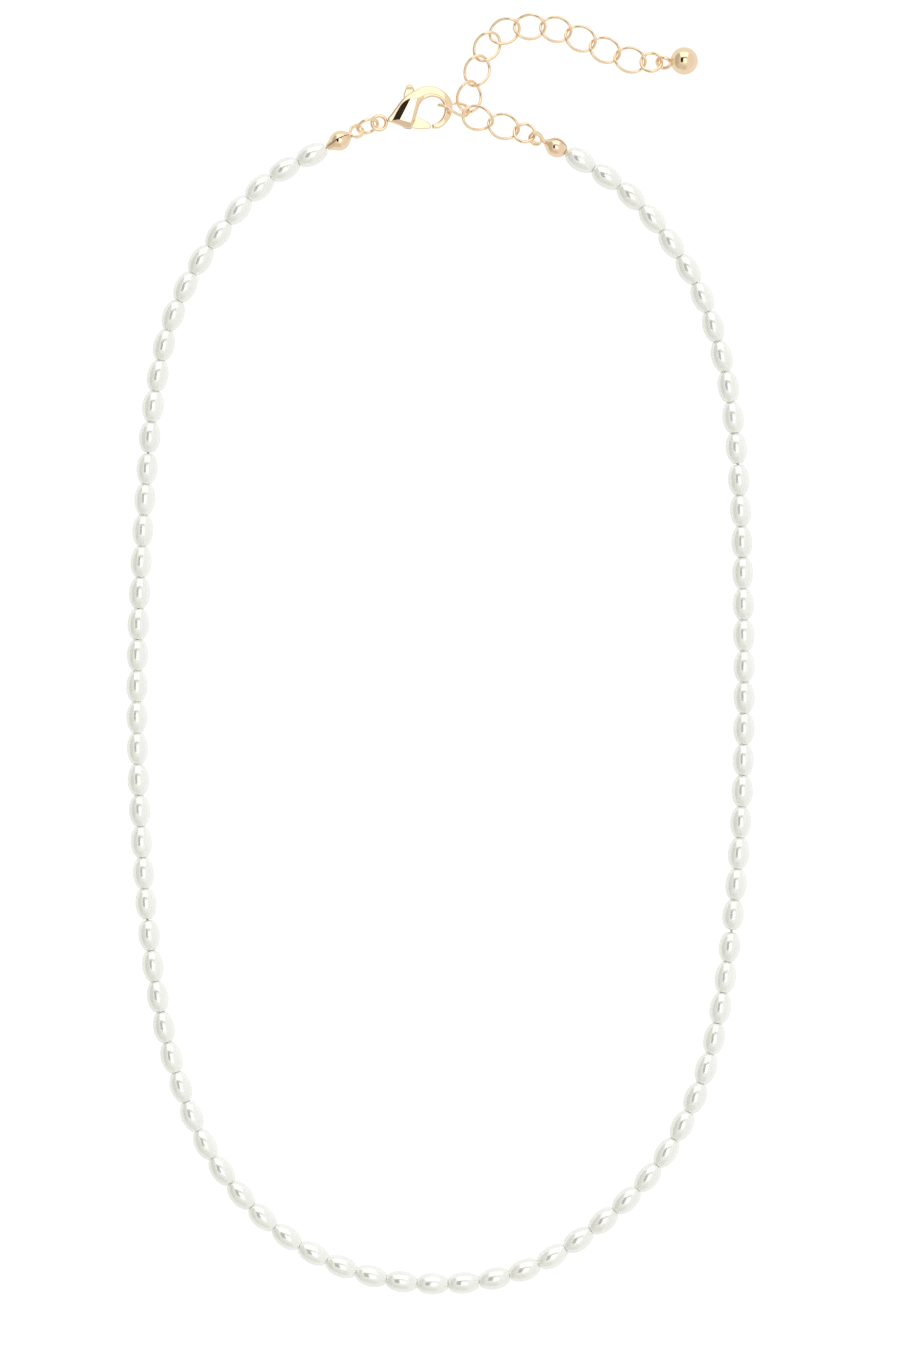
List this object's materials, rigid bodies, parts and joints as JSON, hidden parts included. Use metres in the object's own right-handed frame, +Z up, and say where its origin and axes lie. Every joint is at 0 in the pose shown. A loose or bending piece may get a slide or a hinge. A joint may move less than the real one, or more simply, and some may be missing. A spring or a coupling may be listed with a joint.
{
  "type": "pearl necklace",
  "caption": "Rice-pearl necklace, fastened with a lobster clasp, with an extender chain ending in a ball, lying flat.",
  "frame": {"origin": "on the table, under the middle of the necklace's outline", "axes": "+Y from the bottom of the loop towards the clasp, +Z up out of the table"},
  "size_m": [0.0915, 0.1865, 0.004],
  "materials": {
    "pearl": "pearl lustre, glossy",
    "gold": "polished champagne gold plate",
    "thread": "waxed stringing thread",
    "steel": "plain steel"
  },
  "bodies": {
    "upper_strand": {"pearls_01": "pearl", "pearls_02": "pearl", "pearls_03": "pearl", "pearls_04": "pearl", "pearls_26": "pearl", "pearls_27": "pearl", "pearls_28": "pearl", "pearls_29": "pearl", "thread_upper_left": "thread", "thread_upper_right": "thread", "bead_tip_left": "gold", "bead_tip_right": "gold", "crimp_left": "steel", "crimp_right": "steel"},
    "left_strand": {"pearls_05": "pearl", "pearls_06": "pearl", "pearls_07": "pearl", "pearls_08": "pearl", "pearls_09": "pearl", "thread_left": "thread"},
    "lower_strand": {"pearls_10": "pearl", "pearls_11": "pearl", "pearls_12": "pearl", "pearls_13": "pearl", "pearls_14": "pearl", "pearls_15": "pearl", "pearls_16": "pearl", "pearls_17": "pearl", "pearls_18": "pearl", "pearls_19": "pearl", "pearls_20": "pearl", "thread_lower": "thread"},
    "right_strand": {"pearls_21": "pearl", "pearls_22": "pearl", "pearls_23": "pearl", "pearls_24": "pearl", "pearls_25": "pearl", "thread_right": "thread"},
    "left_ring": {"jump_ring_left": "gold"},
    "clasp": {"clasp_body": "gold", "clasp_pivot": "gold", "clasp_spring": "steel"},
    "lever": {"clasp_lever": "gold"},
    "right_ring": {"jump_ring_right": "gold"},
    "link_01": {"extender_link_01": "gold"},
    "link_02": {"extender_link_02": "gold"},
    "link_03": {"extender_link_03": "gold"},
    "link_04": {"extender_link_04": "gold"},
    "link_05": {"extender_link_05": "gold"},
    "link_06": {"extender_link_06": "gold"},
    "link_07": {"extender_link_07": "gold"},
    "link_08": {"extender_link_08": "gold"},
    "link_09": {"extender_link_09": "gold"},
    "link_10": {"extender_link_10": "gold"},
    "link_11": {"extender_link_11": "gold"},
    "link_12": {"extender_link_12": "gold"},
    "end_ring": {"jump_ring_end": "gold"},
    "ball": {"end_ball": "gold", "ball_eye_pin": "gold"}
  },
  "joints": [
    {"name": "left_strand_bend", "type": "hinge", "parent": "upper_strand", "child": "left_strand", "pos_m": [-0.04258, 0.02937, 0.00158], "axis": [0, 0, 1], "range_deg": [-15, 15]},
    {"name": "lower_strand_bend", "type": "hinge", "parent": "left_strand", "child": "lower_strand", "pos_m": [-0.04269, -0.03848, 0.00158], "axis": [0, 0, 1], "range_deg": [-15, 15]},
    {"name": "right_strand_bend", "type": "hinge", "parent": "upper_strand", "child": "right_strand", "pos_m": [0.04314, 0.02774, 0.00158], "axis": [0, 0, 1], "range_deg": [-15, 15]},
    {"name": "left_ring_roll", "type": "hinge", "parent": "upper_strand", "child": "left_ring", "pos_m": [-0.01065, 0.0769, 0.00155], "axis": [0.9397, 0.342, 0], "range_deg": [-8, 8]},
    {"name": "clasp_roll", "type": "hinge", "parent": "upper_strand", "child": "clasp", "pos_m": [-0.00475, 0.0782, 0.00145], "axis": [0.9828, 0.1849, 0], "range_deg": [-1.5, 5]},
    {"name": "lever_turn", "type": "hinge", "parent": "clasp", "child": "lever", "pos_m": [-0.00475, 0.0779, 0.00145], "axis": [0, 0, 1], "range_deg": [0, 25], "stiffness_Nm_per_rad": 0.002, "deforming": ["clasp_spring"]},
    {"name": "hooked_link_roll", "type": "hinge", "parent": "upper_strand", "child": "link_03", "pos_m": [0.00185, 0.0795, 0.0018], "axis": [0.9602, -0.1866, -0.2079], "range_deg": [-4, 2]},
    {"name": "link_02_roll", "type": "hinge", "parent": "upper_strand", "child": "link_02", "pos_m": [0.00535, 0.07805, 0.0013], "axis": [0.9254, -0.3368, -0.1736], "range_deg": [-5, 5]},
    {"name": "link_01_roll", "type": "hinge", "parent": "upper_strand", "child": "link_01", "pos_m": [0.0091, 0.0769, 0.0009], "axis": [0.9498, -0.3086, -0.0523], "range_deg": [-5, 5]},
    {"name": "right_ring_roll", "type": "hinge", "parent": "upper_strand", "child": "right_ring", "pos_m": [0.01215, 0.07595, 0.00095], "axis": [0.9158, -0.37, 0.1564], "range_deg": [-5, 5]},
    {"name": "link_04_swing", "type": "hinge", "parent": "link_03", "child": "link_04", "pos_m": [0.00365, 0.0795, 0.0011], "axis": [0, 0, 1], "range_deg": [-4, 8]},
    {"name": "link_05_swing", "type": "hinge", "parent": "link_04", "child": "link_05", "pos_m": [0.00468, 0.08313, 0.00066], "axis": [0, 0, 1], "range_deg": [-4, 8]},
    {"name": "link_06_swing", "type": "hinge", "parent": "link_05", "child": "link_06", "pos_m": [0.00598, 0.08675, 0.00066], "axis": [0, 0, 1], "range_deg": [-4, 8]},
    {"name": "link_07_swing", "type": "hinge", "parent": "link_06", "child": "link_07", "pos_m": [0.00797, 0.08962, 0.00066], "axis": [0, 0, 1], "range_deg": [-4, 8]},
    {"name": "link_08_swing", "type": "hinge", "parent": "link_07", "child": "link_08", "pos_m": [0.01107, 0.09108, 0.00066], "axis": [0, 0, 1], "range_deg": [-4, 8]},
    {"name": "link_09_swing", "type": "hinge", "parent": "link_08", "child": "link_09", "pos_m": [0.0148, 0.09123, 0.00066], "axis": [0, 0, 1], "range_deg": [-4, 8]},
    {"name": "link_10_swing", "type": "hinge", "parent": "link_09", "child": "link_10", "pos_m": [0.0185, 0.09037, 0.00066], "axis": [0, 0, 1], "range_deg": [-4, 8]},
    {"name": "link_11_swing", "type": "hinge", "parent": "link_10", "child": "link_11", "pos_m": [0.02208, 0.08887, 0.00066], "axis": [0, 0, 1], "range_deg": [-4, 8]},
    {"name": "link_12_swing", "type": "hinge", "parent": "link_11", "child": "link_12", "pos_m": [0.02567, 0.08732, 0.00066], "axis": [0, 0, 1], "range_deg": [-4, 8]},
    {"name": "end_ring_swing", "type": "hinge", "parent": "link_12", "child": "end_ring", "pos_m": [0.02942, 0.08638, 0.0008], "axis": [0, 0, 1], "range_deg": [-4, 8]},
    {"name": "ball_swing", "type": "hinge", "parent": "end_ring", "child": "ball", "pos_m": [0.03174, 0.08618, 0.001], "axis": [0, 0, 1], "range_deg": [-6, 10]}
  ],
  "couplings": [
    {"joint": "lower_strand_bend", "follows": "left_strand_bend", "ratio": -1},
    {"joint": "right_strand_bend", "follows": "left_strand_bend", "ratio": 1}
  ]
}
